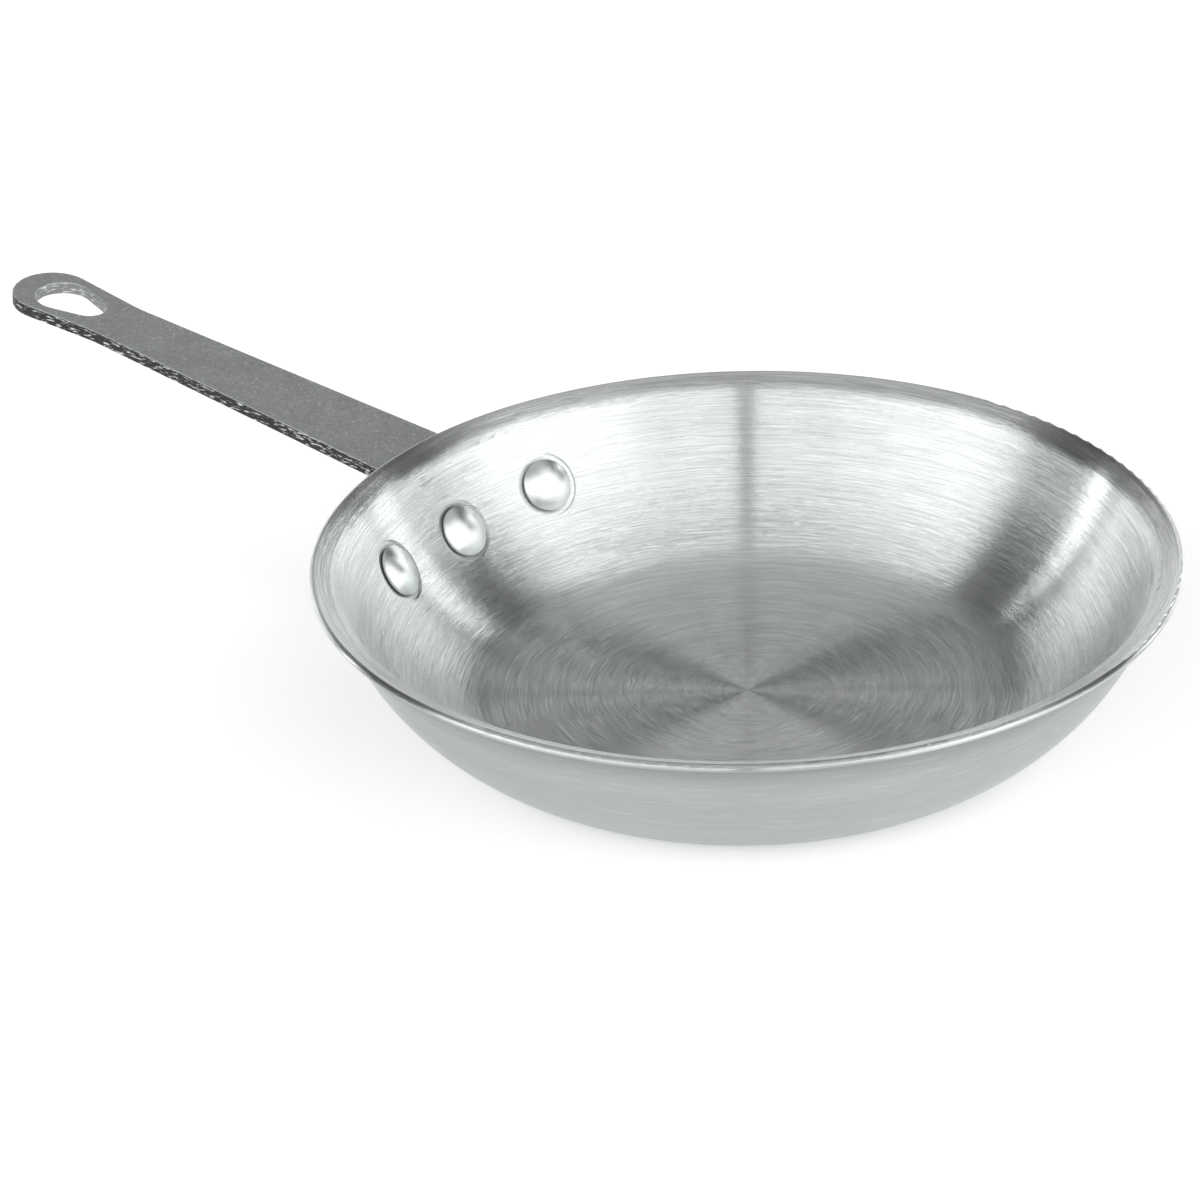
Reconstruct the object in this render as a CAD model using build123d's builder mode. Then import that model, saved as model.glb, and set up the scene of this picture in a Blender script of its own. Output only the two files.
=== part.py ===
from build123d import *
from math import acos, asin, atan, cos, degrees, hypot, radians, sin, sqrt, tan
import os

# An omelette pan: a spun aluminium body, a flat steel handle and the three rivets that join them.
# Millimetres and degrees. The origin is the centre of the flat base, on the plane the pan stands on.
# +Z is up and the handle points along +X. The pan is symmetric about the XZ plane.

# Pan body: one sheet, described by its inner face
rim_diameter = 203.2
pan_height = 39.9
sheet_thickness = 3.0
wall_slope = 63.7  # of the straight upper wall, from the horizontal
knee_slope = 32.9  # where the tight corner arc meets the long wall arc
corner_radius = 12.8
wall_arc_share = 1.523  # radius of the long wall arc, as a share of the bowl's depth

# Lip: the flared rim outside the crease
lip_width = 6.4
lip_rise = 2.5
lip_thickness = 1.9
lip_edge_round = 0.85
lip_root_round = 1.6
crease_round = 4.5

# Rivets: a domed head inside, a flatter button outside
rivet_drop = 19.5  # from the rim's top to the middle rivet's seat
outer_rivet_rise = 2.0  # the straight row climbs this much as the plate bends round the wall
rivet_pitch = 28.4
head_diameter = 12.8
head_edge = 1.0  # from the spot face up to the dome
head_lift = 0.4  # of the head's rim off the spot face
head_relief = 0.7  # the head's foot is this much smaller in radius than its rim
head_height = 2.8
head_round = 0.25
shank_diameter = 6.4
button_diameter = 10.0
button_edge = 0.6
button_height = 2.0
rivet_clearance = 0.05
spot_face_diameter = 16.0
spot_face_depth = 0.12
button_seat_depth = 0.45
button_seat_margin = 0.6

# Handle: one strip, a flat bar that bends down under the lip into a plate on the wall
handle_thickness = 3.4
handle_climb = 6.5
bar_clearance = 0.3  # from the lip's outer edge down to the bar's top face
seat_clearance = 0.1  # between the wall and the plate
bend_radius = 7.5  # of the bar's top face
bend_overlap = 2.0  # the bar's outline starts this far inside the bend's corner
root_width = 24.0
root_length = 5.0
neck_width = 17.0
neck_length = 22.2  # from the narrowest place to the eye's centre
neck_round = 60.0
eye_diameter = 20.8
eye_reach = 119.6  # from the rim to the eye's centre, level
hole_large_diameter = 14.3
hole_small_diameter = 9.2
hole_length = 20.5
hole_end_margin = 7.0  # steel beyond the hole at the tip
plate_margin = 9.5  # from the rivets' axes to the plate's edge
plate_fillet_margin = 1.0  # from the top of the fillet between plate and bar to the bend
strip_edge_round = 0.5

# Cuts and outline blocks run past what they cut by this much
overrun = 15.0


def along(angle):
    """Radius and height steps along a face that climbs outward at this angle."""
    return cos(radians(angle)), sin(radians(angle))


def outward(angle):
    """Radius and height steps square to such a face, out of the pan."""
    return sin(radians(angle)), -cos(radians(angle))


def step(point, direction, distance):
    """The point this far from another in a direction of the meridian plane."""
    return point[0] + distance * direction[0], point[1] + distance * direction[1]


def crossing(first, first_way, second, second_way):
    """The point where two lines of the meridian plane cross."""
    gap = (second[0] - first[0], second[1] - first[1])
    turn = first_way[0] * second_way[1] - first_way[1] * second_way[0]
    return step(first, first_way, (gap[0] * second_way[1] - gap[1] * second_way[0]) / turn)


# The bowl's inner face: a flat floor, a corner arc, a long wall arc and a straight run to the crease.
# The floor's radius is what the other sizes leave.
rim_radius = rim_diameter / 2
floor_height = sheet_thickness
wall_arc = wall_arc_share * (pan_height - floor_height)
crease = (rim_radius - lip_width, pan_height - lip_rise)
arc_top_height = (
    floor_height
    + corner_radius * (1 + outward(knee_slope)[1])
    + wall_arc * (outward(wall_slope)[1] - outward(knee_slope)[1])
)
arc_top = step(crease, along(wall_slope), (arc_top_height - crease[1]) / along(wall_slope)[1])
arc_centre = step(arc_top, outward(wall_slope), -wall_arc)
knee = step(arc_centre, outward(knee_slope), wall_arc)
corner_centre = step(knee, outward(knee_slope), -corner_radius)
floor_radius = corner_centre[0]


def wall_point(height):
    """Point of the inner wall at this height, and the wall's slope there."""
    if height > arc_top_height:
        run = (height - arc_top_height) / along(wall_slope)[1]
        return step(arc_top, along(wall_slope), run), wall_slope
    slope = degrees(acos((arc_centre[1] - height) / wall_arc))
    return step(arc_centre, outward(slope), wall_arc), slope


# The lip: its underside is parallel to its top, and the outer wall cuts it off
lip_slope = degrees(atan(lip_rise / lip_width))
lip_edge = (rim_radius, pan_height - lip_thickness / along(lip_slope)[0])
outer_crease = step(crease, outward(wall_slope), sheet_thickness)
lip_root = crossing(outer_crease, along(wall_slope), lip_edge, along(lip_slope))

# The handle's strip: its contact face stands off the wall, and its bar passes just under the lip
contact = sheet_thickness + seat_clearance
bar_start = (rim_radius, lip_edge[1] - bar_clearance)
bar_way = along(handle_climb)
bend_corner = crossing(step(crease, outward(wall_slope), contact), along(wall_slope), bar_start, bar_way)
bend_tangent = bend_radius * tan(radians((wall_slope - handle_climb) / 2))
bend_centre = step(step(bend_corner, bar_way, bend_tangent), outward(handle_climb), bend_radius)

# Half planes through the axis have x as the radius. Seams of the revolved faces fall opposite the handle.
meridian = Plane(origin=(0, 0, 0), x_dir=(-1, 0, 0), z_dir=(0, 1, 0))


def rivet_place(height, side):
    """Plane of a rivet's spot face, with z along the rivet's axis into the bowl."""
    surface, slope = wall_point(height)
    seat = step(surface, outward(slope), spot_face_depth)
    turn = side * asin(rivet_pitch / surface[0])
    run, fall = outward(slope)
    return Plane(
        origin=(seat[0] * cos(turn), seat[0] * sin(turn), seat[1]),
        x_dir=(-sin(turn), cos(turn), 0),
        z_dir=(-run * cos(turn), -run * sin(turn), -fall),
    )


middle_height = pan_height - rivet_drop
outer_height = middle_height + outer_rivet_rise
rivet_places = {
    "rivet_left": rivet_place(outer_height, 1),
    "rivet_middle": rivet_place(middle_height, 0),
    "rivet_right": rivet_place(outer_height, -1),
}
shank_radius = shank_diameter / 2
grip = contact + handle_thickness - spot_face_depth - button_seat_depth  # between a rivet's two heads
downward = (Align.CENTER, Align.CENTER, Align.MAX)
upward = (Align.CENTER, Align.CENTER, Align.MIN)


def corner_of(sketch, point):
    """The sketch's corner at this point of its own plane."""
    return sketch.vertices().sort_by_distance((*point, 0))[0]


# Pan body
with BuildPart() as pan_body:
    with BuildSketch(meridian) as section:
        with BuildLine():
            Line((0, 0), (floor_radius, 0))
            CenterArc(corner_centre, corner_radius + sheet_thickness, -90, knee_slope)
            CenterArc(arc_centre, wall_arc + sheet_thickness, knee_slope - 90, wall_slope - knee_slope)
            Polyline(
                step(arc_top, outward(wall_slope), sheet_thickness),
                lip_root,
                lip_edge,
                (rim_radius, pan_height),
                crease,
                arc_top,
            )
            CenterArc(arc_centre, wall_arc, knee_slope - 90, wall_slope - knee_slope)
            CenterArc(corner_centre, corner_radius, -90, knee_slope)
            Polyline((floor_radius, floor_height), (0, floor_height), (0, 0))
        make_face()
        fillet(corner_of(section, lip_edge), lip_edge_round)
        fillet(corner_of(section, (rim_radius, pan_height)), lip_edge_round)
        fillet(corner_of(section, lip_root), lip_root_round)
        fillet(corner_of(section, crease), crease_round)
    revolve(axis=Axis.Z)
    with Locations(*rivet_places.values()):
        Cylinder(spot_face_diameter / 2, overrun, align=upward, mode=Mode.SUBTRACT)
        Cylinder(shank_radius + rivet_clearance, 2 * overrun, mode=Mode.SUBTRACT)

# Rivets
rivets = {}
for name, place in rivet_places.items():
    with BuildPart() as rivet:
        with BuildSketch(Plane(place.origin, place.x_dir, place.x_dir.cross(place.z_dir))) as turned:
            with BuildLine():
                head_crown = (0, head_height)
                head_rim = (head_diameter / 2, head_edge)
                button_rim = (button_diameter / 2, -grip - button_edge)
                button_crown = (0, -grip - button_height)
                TangentArc(head_crown, head_rim, tangent=(1, 0))
                Polyline(
                    head_rim,
                    (head_diameter / 2, head_lift),
                    (head_diameter / 2 - head_relief, 0),
                    (shank_radius, 0),
                    (shank_radius, -grip),
                    (button_diameter / 2, -grip),
                    button_rim,
                )
                TangentArc(button_crown, button_rim, tangent=(1, 0))
                Line(button_crown, head_crown)
            make_face()
            fillet(corner_of(turned, head_rim), head_round)
        revolve(axis=Axis(place.origin, place.z_dir))
    rivets[name] = rivet

# Handle outline: two blocks, one square to the plate at its middle rivet and one square to the bar.
# The rivets' axes spread outward, so the row is longer in the plate than at the bowl's inner face.
middle_surface, middle_slope = wall_point(middle_height)
outer_surface, outer_slope = wall_point(outer_height)
plate_run, plate_fall = outward(middle_slope)
plate_plane = Plane((middle_surface[0], 0, middle_surface[1]), (0, 1, 0), (plate_run, 0, plate_fall))
row_swell = (contact + handle_thickness / 2) * outward(outer_slope)[0] / outer_surface[0]
row_length = 2 * rivet_pitch * (1 + row_swell)
corner_lift = hypot(bend_corner[0] - middle_surface[0], bend_corner[1] - middle_surface[1])

# The fillet between plate and bar ends short of the bend, measured on the strip's side
bend_start = step(bend_corner, along(wall_slope), -bend_tangent)
bend_side = Vector(sqrt(bend_start[0] ** 2 - (root_width / 2) ** 2), root_width / 2, bend_start[1])
plate_fillet = plate_plane.to_local_coords(bend_side).Y - plate_margin - plate_fillet_margin

# The bar's plane has its origin at the bend's corner and x along the bar. Two straight flanks
# run from the neck to where they touch the round eye.
bar_plane = Plane(
    (bend_corner[0], 0, bend_corner[1]), (bar_way[0], 0, bar_way[1]), (-bar_way[1], 0, bar_way[0])
)
eye_x = (rim_radius + eye_reach - bend_corner[0]) / bar_way[0]
neck_x = eye_x - neck_length
eye_radius = eye_diameter / 2
flank_angle = asin(eye_radius / hypot(neck_length, neck_width / 2)) - atan(neck_width / 2 / neck_length)
eye_touch = (eye_x - eye_radius * sin(flank_angle), eye_radius * cos(flank_angle))
hole_tip = eye_x + eye_radius - hole_end_margin
hole_large_x = hole_tip - hole_large_diameter / 2
hole_small_x = hole_tip - hole_length + hole_small_diameter / 2

with BuildPart() as handle_outline:
    with BuildSketch(plate_plane) as plate_sketch:
        SlotCenterToCenter(row_length, 2 * plate_margin)
        Rectangle(root_width, corner_lift, align=(Align.CENTER, Align.MIN))
        for side in (1, -1):
            fillet(corner_of(plate_sketch, (side * root_width / 2, plate_margin)), plate_fillet)
    extrude(amount=overrun, both=True)
    with BuildSketch(bar_plane) as bar_sketch:
        with BuildLine():
            flank = Polyline(
                (-bend_overlap, root_width / 2),
                (root_length, root_width / 2),
                (neck_x, neck_width / 2),
                eye_touch,
            )
            mirror(flank, about=Plane.XZ)
            ThreePointArc(eye_touch, (eye_x + eye_radius, 0), (eye_touch[0], -eye_touch[1]))
            Line((-bend_overlap, -root_width / 2), (-bend_overlap, root_width / 2))
        make_face()
        for side in (1, -1):
            fillet(corner_of(bar_sketch, (neck_x, side * neck_width / 2)), neck_round)
    extrude(amount=overrun, both=True)

# Handle: the strip's section is turned about the pan's axis, and the outline cuts it to width
plate_foot = middle_slope - degrees((plate_margin + overrun) / wall_arc)
bar_length = eye_x + eye_radius + overrun


def strip_side(depth):
    """Draw the strip's face at this depth outside the bowl's inner face, and return its two ends."""
    face_arc = wall_arc + depth
    face_bend = bend_radius + contact - depth
    wall_end = step(bend_centre, outward(wall_slope), -face_bend)
    bar_end = step(bend_centre, outward(handle_climb), -face_bend)
    tip = step(bar_end, bar_way, bar_length)
    CenterArc(arc_centre, face_arc, plate_foot - 90, wall_slope - plate_foot)
    Line(step(arc_top, outward(wall_slope), depth), wall_end)
    CenterArc(bend_centre, face_bend, handle_climb + 90, wall_slope - handle_climb)
    Line(bar_end, tip)
    return step(arc_centre, outward(plate_foot), face_arc), tip


with BuildPart() as handle:
    with BuildSketch(meridian):
        with BuildLine():
            inner_foot, inner_tip = strip_side(contact)
            outer_foot, outer_tip = strip_side(contact + handle_thickness)
            Line(inner_foot, outer_foot)
            Line(inner_tip, outer_tip)
        make_face()
    revolve(axis=Axis.Z)
    add(handle_outline.part, mode=Mode.INTERSECT)
    with BuildSketch(bar_plane):
        with Locations((hole_large_x, 0)):
            Circle(hole_large_diameter / 2)
        with Locations((hole_small_x, 0)):
            Circle(hole_small_diameter / 2)
        make_hull()
    extrude(amount=overrun, both=True, mode=Mode.SUBTRACT)
    # Straight edges cross the strip's thickness and circles join its smooth faces; the rest are its rims
    rims = handle.edges().filter_by(lambda edge: edge.geom_type not in (GeomType.LINE, GeomType.CIRCLE))
    fillet(rims, strip_edge_round)
    with Locations(*rivet_places.values()):
        Cylinder(shank_radius + rivet_clearance, 2 * overrun, mode=Mode.SUBTRACT)
    with Locations(*[place.offset(-grip) for place in rivet_places.values()]):
        Cylinder(button_diameter / 2 + button_seat_margin, overrun, align=downward, mode=Mode.SUBTRACT)

nodes = {"pan_body": pan_body, "handle": handle, **rivets}
os.makedirs("parts", exist_ok=True)
for name, node in nodes.items():
    node.part.label = name
    export_step(node.part, f"parts/{name}.step")
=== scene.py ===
from math import radians
from types import SimpleNamespace

import bpy
from mathutils import Matrix, Vector

# An omelette pan in brushed aluminium with a rough steel handle. Metres, in the part's own frame.

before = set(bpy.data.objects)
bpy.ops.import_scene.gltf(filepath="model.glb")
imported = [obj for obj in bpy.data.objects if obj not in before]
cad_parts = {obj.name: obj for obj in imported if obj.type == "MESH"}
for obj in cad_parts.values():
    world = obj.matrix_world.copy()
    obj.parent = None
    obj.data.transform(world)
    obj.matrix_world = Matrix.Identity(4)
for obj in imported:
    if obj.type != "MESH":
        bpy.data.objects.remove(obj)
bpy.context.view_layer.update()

# Camera: a long lens that looks down into the bowl, with the handle towards the upper left
CAMERA_PLACE = (-0.60586, 0.80502, 0.54977)
CAMERA_HEADING = -141.09  # degrees, as are its tilt and roll
CAMERA_TILT = 27.38
CAMERA_ROLL = -1.92
CAMERA_LENS = 145.4  # millimetres, as is its sensor
CAMERA_SENSOR = 36.0
CAMERA_NEAR = 0.05
CAMERA_FAR = 50


def add_camera():
    """The scene's camera, level but for its tilt and a slight roll."""
    data = bpy.data.cameras.new("camera")
    data.sensor_fit = "HORIZONTAL"
    data.sensor_width = CAMERA_SENSOR
    data.lens = CAMERA_LENS
    data.clip_start = CAMERA_NEAR
    data.clip_end = CAMERA_FAR
    camera = bpy.data.objects.new("camera", data)
    turn = Matrix.Rotation(radians(CAMERA_HEADING), 4, "Z")
    tilt = Matrix.Rotation(radians(90 - CAMERA_TILT), 4, "X")
    roll = Matrix.Rotation(radians(CAMERA_ROLL), 4, "Z")
    camera.matrix_world = Matrix.Translation(CAMERA_PLACE) @ turn @ tilt @ roll
    bpy.context.scene.collection.objects.link(camera)
    bpy.context.scene.camera = camera


# Shader nodes
BLACK = (0, 0, 0, 1)
WHITE = (1, 1, 1, 1)
NOISE_MIDDLE = 0.5
NOISE_RANGE = (0.3, 0.7)  # where most of a smooth noise lies
MIX_SOCKETS = {"RGBA": (6, 7, 2), "VECTOR": (4, 5, 1)}  # a Mix node's two inputs and its output, by kind


def new_tree(owner):
    """The owner's node tree, emptied."""
    owner.use_nodes = True
    owner.node_tree.nodes.clear()
    return owner.node_tree


def add_node(tree, kind, inputs=None, **settings):
    """A node with its settings. An input takes a value, or the output that feeds it."""
    node = tree.nodes.new("ShaderNode" + kind)
    for name, value in settings.items():
        setattr(node, name, value)
    for name, value in (inputs or {}).items():
        if isinstance(value, bpy.types.NodeSocket):
            tree.links.new(value, node.inputs[name])
        else:
            node.inputs[name].default_value = value
    return node


def maths(tree, operation, *values):
    """The result of a Math node on these values."""
    node = add_node(tree, "Math", dict(enumerate(values)), operation=operation)
    return node.outputs["Value"]


def vector_maths(tree, operation, *values, result="Vector"):
    """The result of a Vector Math node on these values."""
    node = add_node(tree, "VectorMath", dict(enumerate(values)), operation=operation)
    return node.outputs[result]


def multiply(tree, first, second):
    """Two values, multiplied."""
    return maths(tree, "MULTIPLY", first, second)


def what_is_left(tree, share):
    """What a share leaves of the whole."""
    return maths(tree, "SUBTRACT", 1.0, share)


def dot_product(tree, first, second):
    """How far two directions agree."""
    return vector_maths(tree, "DOT_PRODUCT", first, second, result="Value")


def remap(tree, value, low, high, to_low=0.0, to_high=1.0, smooth=False):
    """The value taken from one range to another, held at both ends."""
    inputs = {"Value": value, "From Min": low, "From Max": high, "To Min": to_low, "To Max": to_high}
    kind = "SMOOTHSTEP" if smooth else "LINEAR"
    return add_node(tree, "MapRange", inputs, interpolation_type=kind).outputs["Result"]


def blend(tree, kind, share, first, second):
    """What lies between two colours or vectors, at this share of the way."""
    first_input, second_input, output = MIX_SOCKETS[kind]
    inputs = {0: share, first_input: first, second_input: second}
    return add_node(tree, "Mix", inputs, data_type=kind).outputs[output]


def blend_colours(tree, share, first, second):
    """A colour between two, at this share of the way."""
    return blend(tree, "RGBA", share, first, second)


def blend_directions(tree, share, first, second):
    """A direction between two, at this share of the way, with a length of one."""
    return vector_maths(tree, "NORMALIZE", blend(tree, "VECTOR", share, first, second))


def noise(tree, vector, detail=2.0, roughness=0.5, scale=1.0, w=None):
    """Smooth noise round its middle. Its scale is the number of cells to one unit of the vector."""
    inputs = {"Vector": vector, "Scale": scale, "Detail": detail, "Roughness": roughness}
    if w is not None:
        inputs["W"] = w
    kind = "3D" if w is None else "4D"
    return add_node(tree, "TexNoise", inputs, noise_dimensions=kind).outputs[0]


def add_metal(tree, inputs):
    """A metal with these inputs, as the material's surface."""
    metal = add_node(tree, "BsdfPrincipled", {"Metallic": 1.0, **inputs})
    add_node(tree, "OutputMaterial", {"Surface": metal.outputs["BSDF"]})


# The wall's outward normal: its level part and its rise
WALL_LEVEL = 0.896
WALL_RISE = -0.443


def pan_spot(tree):
    """Where the shaded point lies: its place, level way out from the axis, distance from it and height."""
    place = add_node(tree, "TexCoord").outputs["Object"]
    flat = vector_maths(tree, "MULTIPLY", place, (1, 1, 0))
    way = vector_maths(tree, "NORMALIZE", flat)
    radius = vector_maths(tree, "LENGTH", flat, result="Value")
    height = add_node(tree, "SeparateXYZ", {"Vector": place}).outputs["Z"]
    return SimpleNamespace(place=place, way=way, radius=radius, height=height)


def wall_outward(tree, spot):
    """The outward normal that the wall has on this side of the pan."""
    return vector_maths(tree, "MULTIPLY_ADD", spot.way, (WALL_LEVEL, WALL_LEVEL, 0), (0, 0, WALL_RISE))


# Brushed aluminium: lines run round the pan's axis, in rings
LINES_TO_RADIAN = 5.0  # cells of noise along a ring
LINE_SPACING = 0.00026
LINE_DETAIL = 2.0
LINE_TILT = 0.14  # how far the lines lean the surface across them, for noise from nothing to one
LINE_WANDER = 0.0006
WANDER_SCALE = 60.0
HAIR_SPACING = 0.00002
HAIR_DETAIL = 0.0
INSIDE_HAIR_TILT = 2.0
OUTSIDE_HAIR_TILT = 0.8
SCRATCHES_TO_RADIAN = 10.0
SCRATCH_SPACING = 0.0004
SCRATCH_DETAIL = 1.0
SCRATCH_NOISE = (0.64, 0.72)  # noise between which a scratch comes up
INSIDE_SCRATCH = 0.65
OUTSIDE_SCRATCH = 0.2
BANDS_TO_RADIAN = 2.0
BAND_SPACING = 0.005
BAND_DETAIL = 1.0
BAND_SHADE = 0.06
INSIDE_TONES = ((0.69, 0.712, 0.707, 1), (0.88, 0.909, 0.902, 1))
# The outside's darker tones are partly a darker finish, partly painted shade for the shadowed floor that it
# mirrors
OUTSIDE_TONES = ((0.43, 0.449, 0.443, 1), (0.495, 0.516, 0.51, 1))
SHEET_ROUGHNESS = 0.26
SHEET_ANISOTROPY = 1.0
SHEET_ROTATION = 0.25  # of a turn, from along the rings to across them

# Which face of the sheet a point is on, by how far its normal agrees with the wall's outward normal
OUTSIDE_FACING = (0.2, 0.7)
SLIGHT_HAIR_FACING = (-0.5, 0.0)

# The lip's rounded edge
LIP_EDGE = (0.0990, 0.0999)  # distances from the axis between which it starts
ROUND_RADIUS = 0.10075  # the middle of its round, from the axis, and that middle's height
ROUND_HEIGHT = 0.03815
ROUND_START = (0.10108, 0.10116)  # distances between which the normal worked out from the round takes over

# Painted shade on the sheet
UNDER_LIP = (0.028, 0.037)  # heights between which painted shade darkens the outside under the lip
UNDER_LIP_SHADE = 0.3
LOWER_EDGE = (-0.3, -0.7)  # rises of the normal between which painted shade darkens the lip's lower edge
LOWER_EDGE_SHADE = 0.7
CONTACT_SHADOW_FADE = (0.0064, 0.0076)  # distances from a rivet's axis between which the painted shadow round its head fades
CONTACT_SHADOW_SHADE = 0.45


def ring_noise(tree, spot, to_radian, spacing, detail):
    """Noise drawn out in rings round the pan's axis, which wander a little."""
    wander = multiply(tree, noise(tree, spot.place, scale=WANDER_SCALE), LINE_WANDER)
    across = maths(tree, "DIVIDE", maths(tree, "ADD", spot.radius, wander), spacing)
    across = add_node(tree, "CombineXYZ", {"Z": across}).outputs["Vector"]
    along = vector_maths(tree, "MULTIPLY", spot.way, (to_radian, to_radian, 0))
    ring_place = vector_maths(tree, "ADD", along, across)
    return noise(tree, ring_place, detail, w=maths(tree, "DIVIDE", spot.height, spacing))


def sheet_normal(tree, spot):
    """The surface's normal. On the lip's rounded edge it is worked out from the round, and runs even."""
    level = (ROUND_RADIUS, ROUND_RADIUS, 0)
    up = (0, 0, ROUND_HEIGHT)
    middle = vector_maths(tree, "MULTIPLY_ADD", spot.way, level, up)
    rounded = vector_maths(tree, "NORMALIZE", vector_maths(tree, "SUBTRACT", spot.place, middle))
    normal = add_node(tree, "NewGeometry").outputs["Normal"]
    return blend_directions(tree, remap(tree, spot.radius, *ROUND_START), normal, rounded)


def noise_tilt(tree, height, tilt):
    """How far a noise leans the surface: both ways, and not at all at the noise's middle."""
    return multiply(tree, maths(tree, "SUBTRACT", height, NOISE_MIDDLE), tilt)


def grooved_normal(tree, spot, normal, tilts):
    """The normal, leaned across the rings by the sum of two tilts."""
    ring = vector_maths(tree, "CROSS_PRODUCT", (0, 0, 1), spot.way)
    across = vector_maths(tree, "NORMALIZE", vector_maths(tree, "CROSS_PRODUCT", ring, normal))
    inputs = {0: across, "Scale": maths(tree, "ADD", *tilts)}
    lean = add_node(tree, "VectorMath", inputs, operation="SCALE").outputs["Vector"]
    return vector_maths(tree, "NORMALIZE", vector_maths(tree, "ADD", normal, lean))


def rivet_line(node):
    """A rivet's middle and the way that its head points, square to the wall."""
    corners = [node.matrix_world @ Vector(corner) for corner in node.bound_box]
    middle = sum(corners, Vector()) / len(corners)
    out = Vector((middle.x, middle.y, 0)).normalized()
    return middle, (-WALL_LEVEL * out.x, -WALL_LEVEL * out.y, -WALL_RISE)


def painted_rivet_shadows(tree, place, rivets):
    """One close round each rivet's head, where painted shadow darkens the sheet, and nothing further off."""
    rivet_shadows = 0.0
    for middle, axis in rivets:
        off_middle = vector_maths(tree, "SUBTRACT", place, tuple(middle))
        off_axis = vector_maths(tree, "CROSS_PRODUCT", off_middle, axis)
        distance = vector_maths(tree, "LENGTH", off_axis, result="Value")
        rivet_shadows = maths(tree, "MAXIMUM", remap(tree, distance, *CONTACT_SHADOW_FADE, 1.0, 0.0, smooth=True), rivet_shadows)
    return rivet_shadows


def sheet_scratches(tree, spot, outer, lip_edge):
    """How bright the scratches are: fainter outside, and none on the lip's edge."""
    scratches = ring_noise(tree, spot, SCRATCHES_TO_RADIAN, SCRATCH_SPACING, SCRATCH_DETAIL)
    scratches = remap(tree, scratches, *SCRATCH_NOISE)
    scratches = multiply(tree, scratches, remap(tree, outer, 0, 1, INSIDE_SCRATCH, OUTSIDE_SCRATCH))
    return multiply(tree, scratches, what_is_left(tree, lip_edge))


def lip_shade(tree, spot, normal, outer, lip_edge):
    """Painted shade: how dark the outside is under the lip, and the lip on its lower edge."""
    under_lip = remap(tree, spot.height, *UNDER_LIP, 0.0, UNDER_LIP_SHADE, smooth=True)
    under_lip = multiply(tree, multiply(tree, outer, under_lip), what_is_left(tree, lip_edge))
    rise = add_node(tree, "SeparateXYZ", {"Vector": normal}).outputs["Z"]
    lower_edge = multiply(tree, lip_edge, remap(tree, rise, *LOWER_EDGE, 0.0, LOWER_EDGE_SHADE))
    return maths(tree, "MAXIMUM", under_lip, lower_edge)


def sheet_tone(tree, spot, normal, lines, outer, lip_edge, rivets):
    """The sheet's colour: its lines, scratches and faint bands, a darker outside, and painted shade round
    the rivet heads and under the lip.
    """
    lightness = remap(tree, lines, *NOISE_RANGE)
    inside = blend_colours(tree, lightness, *INSIDE_TONES)
    outside = blend_colours(tree, lightness, *OUTSIDE_TONES)
    tone = blend_colours(tree, outer, inside, outside)
    tone = blend_colours(tree, sheet_scratches(tree, spot, outer, lip_edge), tone, WHITE)

    bands = ring_noise(tree, spot, BANDS_TO_RADIAN, BAND_SPACING, BAND_DETAIL)
    rivet_shadows = multiply(tree, painted_rivet_shadows(tree, spot.place, rivets), CONTACT_SHADOW_SHADE)
    # Faint bands in the sheet's own tone, then painted shadows round the rivet heads and painted shade under
    # the lip and on its lower edge
    shades = (
        remap(tree, bands, *NOISE_RANGE, 0.0, BAND_SHADE),
        multiply(tree, rivet_shadows, what_is_left(tree, outer)),
        lip_shade(tree, spot, normal, outer, lip_edge),
    )
    for shade in shades:
        tone = blend_colours(tree, shade, tone, BLACK)
    return tone


def brushed_aluminium(rivets):
    """Aluminium brushed in rings round the pan's axis, so that it shines in spokes. Darker outside: partly a
    darker finish, partly painted shade for the shadowed floor that it mirrors.
    """
    material = bpy.data.materials.new("brushed_aluminium")
    tree = new_tree(material)
    spot = pan_spot(tree)
    normal = sheet_normal(tree, spot)
    facing = dot_product(tree, normal, wall_outward(tree, spot))
    outer = remap(tree, facing, *OUTSIDE_FACING, smooth=True)
    lip_edge = remap(tree, spot.radius, *LIP_EDGE, smooth=True)
    lines = ring_noise(tree, spot, LINES_TO_RADIAN, LINE_SPACING, LINE_DETAIL)
    hairs = ring_noise(tree, spot, LINES_TO_RADIAN, HAIR_SPACING, HAIR_DETAIL)

    # The lip's edge has no lines, and hairs as slight as the outside's
    line_tilt = remap(tree, lip_edge, 0, 1, LINE_TILT, 0.0)
    slight = maths(tree, "MAXIMUM", lip_edge, remap(tree, facing, *SLIGHT_HAIR_FACING, smooth=True))
    hair_tilt = remap(tree, slight, 0, 1, INSIDE_HAIR_TILT, OUTSIDE_HAIR_TILT)
    tilts = (noise_tilt(tree, lines, line_tilt), noise_tilt(tree, hairs, hair_tilt))

    add_metal(tree, {
        "Base Color": sheet_tone(tree, spot, normal, lines, outer, lip_edge, rivets),
        "Roughness": SHEET_ROUGHNESS,
        "Anisotropic": SHEET_ANISOTROPY,
        "Anisotropic Rotation": SHEET_ROTATION,
        "Normal": grooved_normal(tree, spot, normal, tilts),
        "Tangent": add_node(tree, "Tangent", direction_type="RADIAL", axis="Z").outputs["Tangent"],
    })
    return material


# Rivets
DENT_SCALE = 900.0
DENT_DETAIL = 2.0
DENT_DEPTH = 0.00001
SMEAR_SCALE = 350.0
SMEAR_DETAIL = 3.0
RIVET_TONES = ((0.72, 0.75, 0.745, 1), (0.86, 0.88, 0.88, 1))
RIVET_ROUGHNESS = (0.28, 0.36)


def add_bump(tree, height, depth):
    """The normal over a relief this deep."""
    return add_node(tree, "Bump", {"Height": height, "Strength": 1.0, "Distance": depth}).outputs["Normal"]


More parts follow.
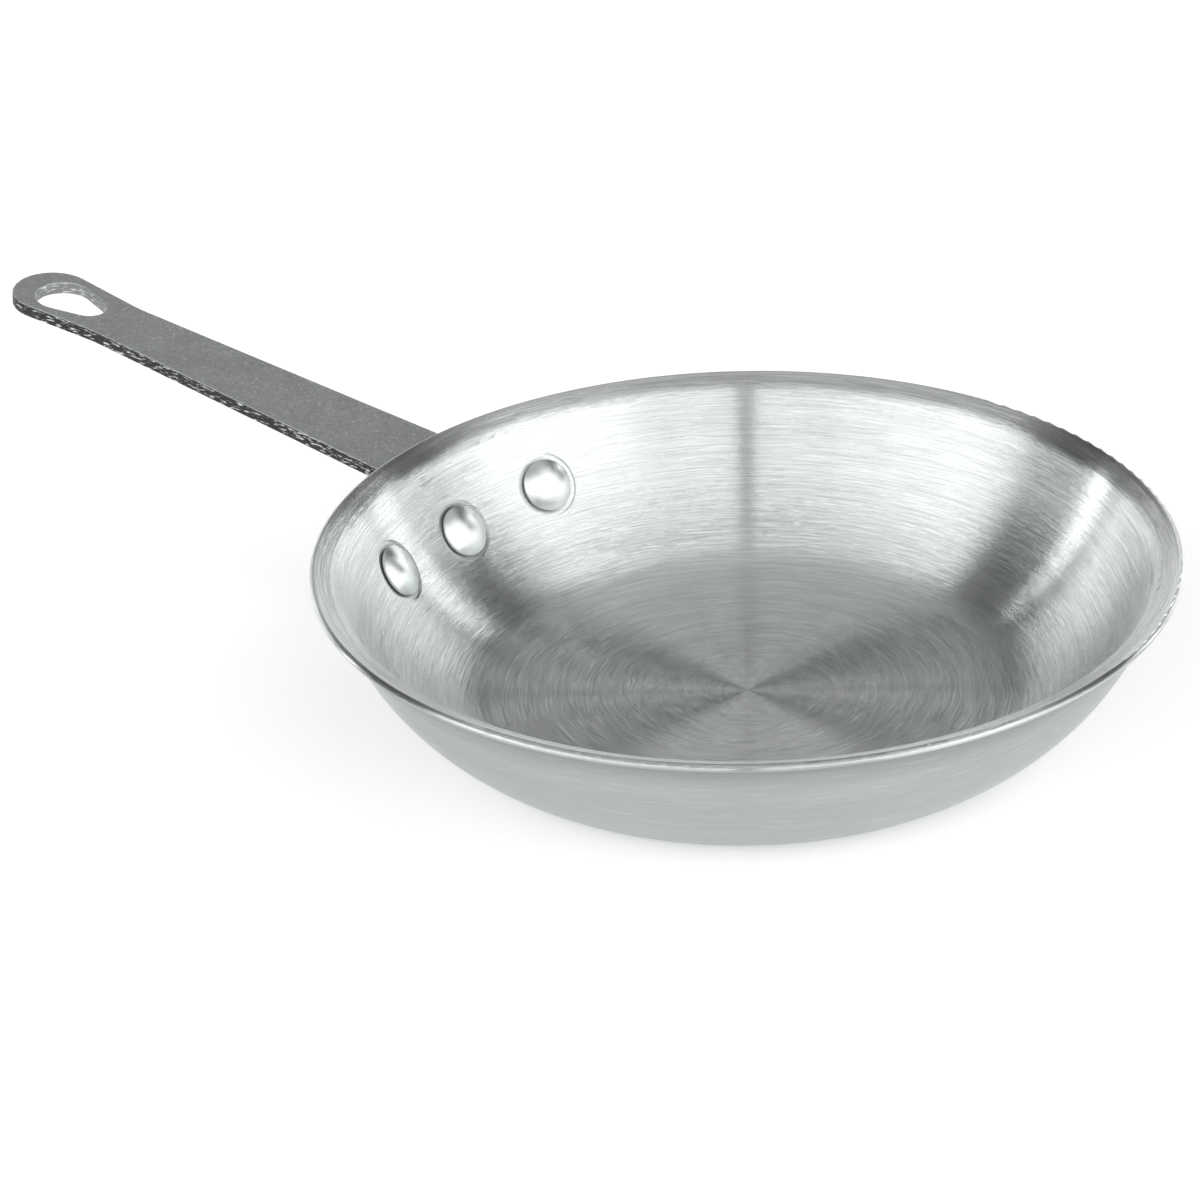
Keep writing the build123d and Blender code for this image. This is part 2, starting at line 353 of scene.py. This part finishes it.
def rivet_aluminium():
    """Soft aluminium, polished by the rivet set and a little dented."""
    material = bpy.data.materials.new("rivet_aluminium")
    tree = new_tree(material)
    place = add_node(tree, "TexCoord").outputs["Object"]
    dents = noise(tree, place, DENT_DETAIL, scale=DENT_SCALE)
    smears = noise(tree, place, SMEAR_DETAIL, scale=SMEAR_SCALE)
    add_metal(tree, {
        "Base Color": blend_colours(tree, smears, *RIVET_TONES),
        "Roughness": remap(tree, smears, *NOISE_RANGE, *RIVET_ROUGHNESS),
        "Normal": add_bump(tree, dents, DENT_DEPTH),
    })
    return material


# Handle. The strip's broad sides face as the wall does up to the bend, and as the bar's underside past it
BEND = (0.097, 0.104)  # distances from the pan's axis
BAR_UNDERSIDE = (0.113, 0, -0.994)
SIDE_FACING = (0.75, 0.3)  # how far a face agrees with the broad sides, from one of them to the strip's edge
MOTTLE_SCALE = 700.0
MOTTLE_DETAIL = 4.0
MOTTLE_ROUGHNESS = 0.65
FACE_TONES = ((0.40, 0.415, 0.41, 1), (0.52, 0.54, 0.535, 1))
PIT_SCALE = 1500.0
PIT_DETAIL = 1.0
PIT_NOISE = (0.62, 0.72)  # noise between which a bright pit comes up
PIT_SHARE = 0.6
PIT_TONE = (0.85, 0.88, 0.87, 1)
TORN_SCALES = (420.0, 420.0, 2200.0)
TORN_DETAIL = 3.0
TORN_ROUGHNESS = 0.6
FLECK_NOISE = (0.54, 0.66)
SIDE_TONES = ((0.055, 0.057, 0.056, 1), (0.75, 0.77, 0.76, 1))
CLOUD_SCALE = 120.0
CLOUD_DETAIL = 2.0
HANDLE_ROUGHNESS = (0.55, 0.65)
HANDLE_RELIEF = 0.00006

# Painted light: the cut steel is paler in the hanging hole, where its wall catches the lamps, within an oval
# a little larger than the hole
OVAL_MIDDLE = (0.2148, 0, 0)
OVAL_HALF_LENGTH = 0.0115
OVAL_HALF_WIDTH = 0.0084
OVAL_FADE = (1.05, 0.95)  # shares of the oval's size between which the painted light comes up
HOLE_LIT_TONES = ((0.30, 0.31, 0.305, 1), (0.80, 0.82, 0.81, 1))


def handle_side(tree, spot):
    """How much of a face is the strip's side: nothing on its broad faces, one on its cut edges."""
    past_bend = remap(tree, spot.radius, *BEND, smooth=True)
    broad = blend_directions(tree, past_bend, wall_outward(tree, spot), BAR_UNDERSIDE)
    normal = add_node(tree, "NewGeometry").outputs["Normal"]
    facing = maths(tree, "ABSOLUTE", dot_product(tree, normal, broad))
    return remap(tree, facing, *SIDE_FACING, smooth=True)


def handle_face_tone(tree, place, mottle):
    """Mottled grey with bright pits."""
    pits = remap(tree, noise(tree, place, PIT_DETAIL, scale=PIT_SCALE), *PIT_NOISE)
    tone = blend_colours(tree, remap(tree, mottle, *NOISE_RANGE), *FACE_TONES)
    return blend_colours(tree, multiply(tree, pits, PIT_SHARE), tone, PIT_TONE)


def handle_side_tone(tree, place, torn):
    """Dark torn steel with bright flecks, made paler in the hanging hole by painted light."""
    flecks = remap(tree, torn, *FLECK_NOISE)
    off_middle = vector_maths(tree, "SUBTRACT", place, OVAL_MIDDLE)
    off_middle = vector_maths(tree, "MULTIPLY", off_middle, (1 / OVAL_HALF_LENGTH, 1 / OVAL_HALF_WIDTH, 0))
    lit_hole = remap(tree, vector_maths(tree, "LENGTH", off_middle, result="Value"), *OVAL_FADE)
    side = blend_colours(tree, flecks, *SIDE_TONES)
    return blend_colours(tree, lit_hole, side, blend_colours(tree, flecks, *HOLE_LIT_TONES))


def handle_steel():
    """Rough plated steel: mottled matte faces and dark, torn sides with bright flecks."""
    material = bpy.data.materials.new("handle_steel")
    tree = new_tree(material)
    spot = pan_spot(tree)
    side = handle_side(tree, spot)
    mottle = noise(tree, spot.place, MOTTLE_DETAIL, MOTTLE_ROUGHNESS, MOTTLE_SCALE)
    torn = vector_maths(tree, "MULTIPLY", spot.place, TORN_SCALES)
    torn = noise(tree, torn, TORN_DETAIL, TORN_ROUGHNESS)
    clouds = noise(tree, spot.place, CLOUD_DETAIL, scale=CLOUD_SCALE)
    face_tone = handle_face_tone(tree, spot.place, mottle)
    face_relief = multiply(tree, mottle, what_is_left(tree, side))
    relief = maths(tree, "ADD", face_relief, multiply(tree, torn, side))
    add_metal(tree, {
        "Base Color": blend_colours(tree, side, face_tone, handle_side_tone(tree, spot.place, torn)),
        "Roughness": remap(tree, clouds, *NOISE_RANGE, *HANDLE_ROUGHNESS),
        "Normal": add_bump(tree, relief, HANDLE_RELIEF),
    })
    return material


# Floor
FLOOR_SIDES = 128
FLOOR_RADIUS = 6.0
FLOOR_COLOUR = (0.90, 0.90, 0.90, 1)
FLOOR_LIFT = 0.36


def shown_background(tree):
    """One where the camera, or a mirror or glass, looks at the background, and nothing for its light."""
    path = add_node(tree, "LightPath").outputs
    seen = maths(tree, "MAXIMUM", path["Is Camera Ray"], path["Is Glossy Ray"])
    return maths(tree, "MAXIMUM", seen, path["Is Transmission Ray"])


def add_floor():
    """A wide pale floor that keeps the pan's soft shadow."""
    bpy.ops.mesh.primitive_circle_add(vertices=FLOOR_SIDES, radius=FLOOR_RADIUS, fill_type="NGON")
    floor = bpy.context.object
    floor.name = "floor"
    material = bpy.data.materials.new("floor")
    tree = new_tree(material)
    paint = add_node(tree, "BsdfDiffuse", {"Color": FLOOR_COLOUR})
    lift = multiply(tree, shown_background(tree), FLOOR_LIFT)
    glow = add_node(tree, "Emission", {"Strength": lift})
    both = add_node(tree, "AddShader", {0: paint.outputs["BSDF"], 1: glow.outputs["Emission"]})
    add_node(tree, "OutputMaterial", {"Surface": both.outputs["Shader"]})
    floor.data.materials.append(material)


# The studio's lamps and pale walls, far off all round. Headings are off the camera's side of the pan, to
# its right; climbs are above the floor. Degrees: middle heading, half width, edge, climbs between which
# the lamp brightens, climbs between which it fades. Last is its brightness.
STUDIO = {
    "left softbox": (-49.5, 44.5, 1.5, (10, 14), (50, 66), 0.65),
    "left softbox core": (-49.5, 44.5, 1.5, (16, 30), (34, 48), 2.2),
    "right softbox": (47.5, 48, 1.5, (10, 14), (50, 66), 1.25),
    "right softbox core": (42, 43, 6, (16, 30), (36, 56), 0.7),
    "left fill": (-65, 35, 4, (-95, -91), (10, 14), 1.5),
    "right fill": (69, 39, 4, (-95, -91), (10, 14), 3.0),
    "left strip": (-119.5, 3.5, 1, (-95, -91), (20, 24), 3.4),
    "right strip": (122, 4, 1, (-2, 22), (28, 34), 3.4),
    "left wall": (-116, 16, 2, (-95, -91), (10, 14), 0.75),
    "right wall": (119, 13, 2, (-95, -91), (10, 14), 0.85),
    "left corner": (-141, 12, 4, (-95, -91), (22, 27), 0.6),
    "right corner": (141, 12, 4, (-95, -91), (22, 27), 0.75),
    "back wall": (180, 50, 1, (-95, -91), (22, 27), 0.87),
    "back wall middle": (180, 10, 8, (-95, -91), (22, 27), 0.1),
    "right gap": (107, 11, 3, (10, 18), (44, 60), 0.09),
    "ceiling": (0, 185, 1, (42, 60), (91, 95), 0.38),
    "ceiling back": (180, 60, 20, (41, 60), (91, 95), 0.23),
}

# Where no lamp is brighter, the horizon's pale band fades into the dark between these climbs
HORIZON_FADE = (7, 10)
HORIZON_LEVEL = 0.95
DARKEST = 0.07
HALF_TURN = 180.0


def set_world():
    """The studio round the pan, in the directions that its list gives, with a pale band at the horizon."""
    world = bpy.data.worlds.new("studio")
    bpy.context.scene.world = world
    tree = new_tree(world)
    way = add_node(tree, "TexCoord").outputs["Generated"]
    turn = {"Vector": way, "Angle": radians(-CAMERA_HEADING)}
    turned = add_node(tree, "VectorRotate", turn, rotation_type="Z_AXIS").outputs["Vector"]
    parts = add_node(tree, "SeparateXYZ", {"Vector": turned}).outputs
    front = multiply(tree, parts["Y"], -1.0)
    heading = maths(tree, "DEGREES", maths(tree, "ARCTAN2", parts["X"], front))
    climb = maths(tree, "DEGREES", maths(tree, "ARCSINE", parts["Z"]))

    level = remap(tree, climb, *HORIZON_FADE, HORIZON_LEVEL, DARKEST, smooth=True)
    lamps = 0.0
    for middle, half_width, edge, rise, fade, brightness in STUDIO.values():
        off = maths(tree, "WRAP", maths(tree, "SUBTRACT", heading, middle), HALF_TURN, -HALF_TURN)
        off = maths(tree, "ABSOLUTE", off)
        lamp = remap(tree, off, half_width - edge, half_width + edge, brightness, 0.0, smooth=True)
        lamp = multiply(tree, lamp, remap(tree, climb, *rise, smooth=True))
        lamp = multiply(tree, lamp, remap(tree, climb, *fade, 1.0, 0.0, smooth=True))
        lamps = maths(tree, "ADD", lamp, lamps)
    strength = maths(tree, "MAXIMUM", lamps, level)
    background = add_node(tree, "Background", {"Color": WHITE, "Strength": strength})
    add_node(tree, "OutputWorld", {"Surface": background.outputs["Background"]})


add_camera()
set_world()
add_floor()

rivets = [rivet_line(node) for name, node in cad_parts.items() if name.startswith("rivet")]
finishes = {"pan_body": brushed_aluminium(rivets), "handle": handle_steel()}
rivet_finish = rivet_aluminium()
for name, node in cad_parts.items():
    node.data.materials.clear()
    node.data.materials.append(finishes.get(name, rivet_finish))

bpy.context.scene.view_settings.view_transform = "Standard"
